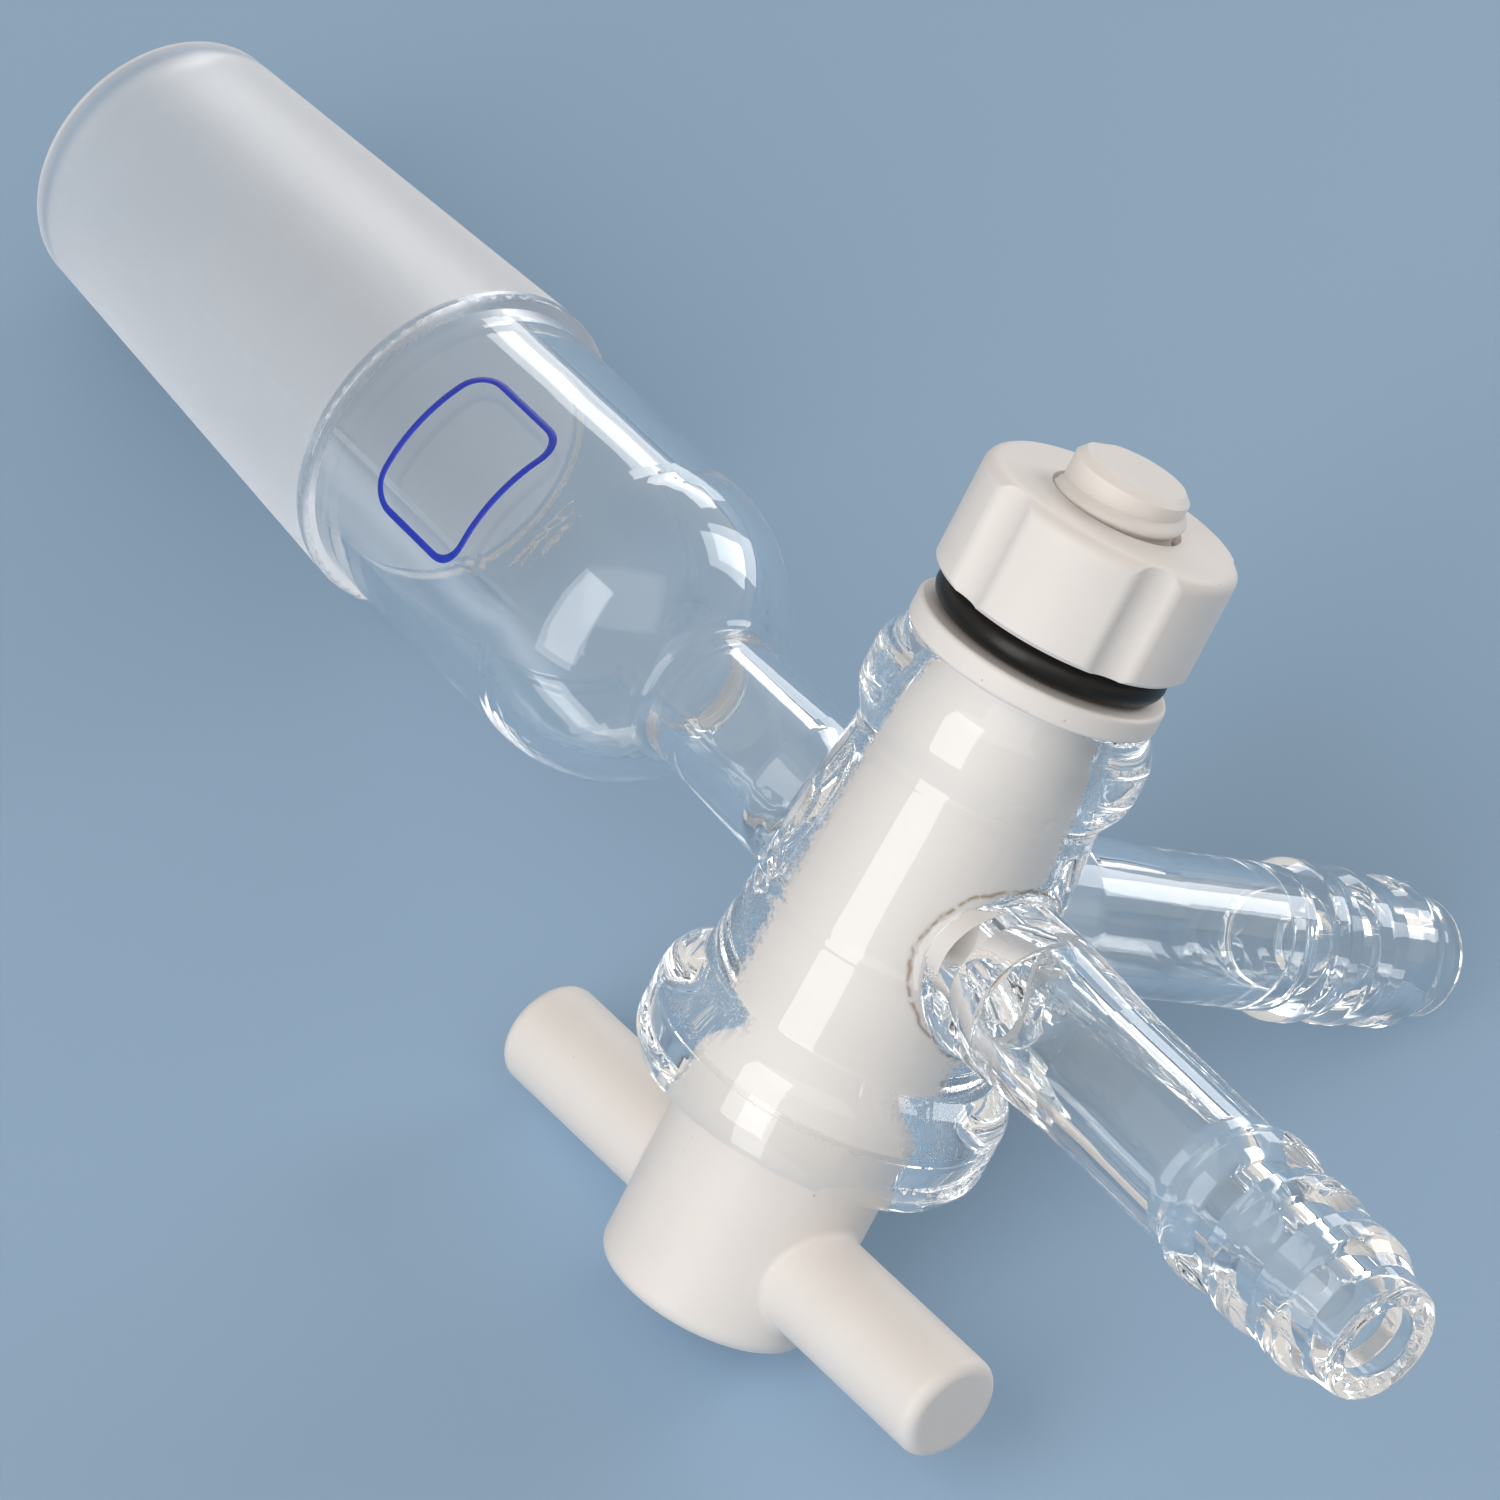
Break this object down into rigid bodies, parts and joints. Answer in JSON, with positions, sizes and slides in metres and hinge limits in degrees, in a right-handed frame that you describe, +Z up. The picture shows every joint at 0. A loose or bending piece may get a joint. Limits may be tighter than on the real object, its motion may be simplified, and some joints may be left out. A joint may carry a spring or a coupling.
{
  "type": "glass stopcock",
  "caption": "Glass stopcock adapter: a ground taper joint, serrated hose ends in line and to the side, and a white T-handle plug held in the barrel by a washer, rubber ring and nut.",
  "frame": {"origin": "on the table, under the middle of the part as it lies at rest", "axes": "+X level, above the line from the ground joint to the in-line hose end; +Y level, to the side hose end's side; +Z up"},
  "size_m": [0.1414, 0.0646, 0.0562],
  "materials": {
    "clear_glass": "clear blown borosilicate, finely ground on the taper and in the barrel's seat",
    "white_plastic": "waxy white fluoropolymer, turned and moulded",
    "black_rubber": "smooth moulded rubber"
  },
  "bodies": {
    "glass": {"glass_body": "clear_glass"},
    "plug": {"plug": "white_plastic", "washer": "white_plastic"},
    "o_ring": {"o_ring": "black_rubber"},
    "nut": {"nut": "white_plastic"}
  },
  "joints": [
    {"name": "plug_turn", "type": "hinge", "parent": "glass", "child": "plug", "pos_m": [0.02292, -0.01017, 0.02866], "axis": [-0.1704, 0.5404, 0.824], "continuous": true},
    {"name": "o_ring_slide", "type": "slide", "parent": "plug", "child": "o_ring", "axis": [-0.1704, 0.5404, 0.824], "range_m": [0, 0.008]},
    {"name": "nut_turn", "type": "hinge", "parent": "o_ring", "child": "nut", "pos_m": [0.02292, -0.01017, 0.02866], "axis": [-0.1704, 0.5404, 0.824], "range_deg": [0, 1440]}
  ],
  "couplings": [
    {"joint": "nut_turn", "follows": "o_ring_slide", "rad_per_m": 3141.5}
  ]
}
